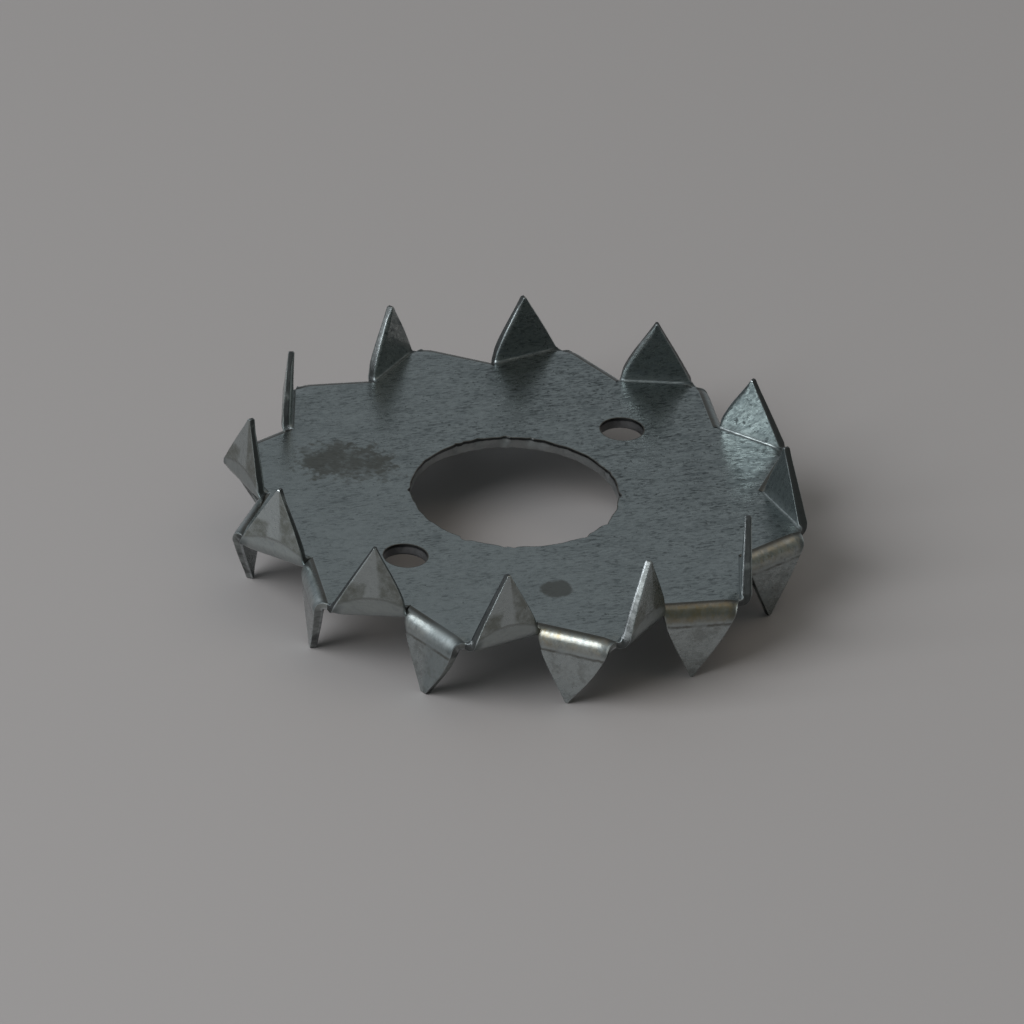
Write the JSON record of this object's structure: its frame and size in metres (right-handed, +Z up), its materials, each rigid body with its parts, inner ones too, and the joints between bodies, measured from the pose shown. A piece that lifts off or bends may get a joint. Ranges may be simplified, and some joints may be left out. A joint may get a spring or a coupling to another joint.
{
  "type": "toothed plate timber connector",
  "caption": "Round double-sided toothed plate for bolted timber joints: one sheet folded into teeth on both faces, with a bolt hole at the centre and nail holes beside it.",
  "frame": {"origin": "centre of the bolt hole at mid-thickness of the flat plate", "axes": "+Z up along the bolt hole, square to the plate; +X through the nail holes; +Y completes the right-handed frame"},
  "size_m": [0.0484, 0.0484, 0.0122],
  "materials": {
    "zinc_steel": "galvanised"
  },
  "bodies": {
    "root": {"toothed_plate": "zinc_steel"}
  },
  "joints": []
}
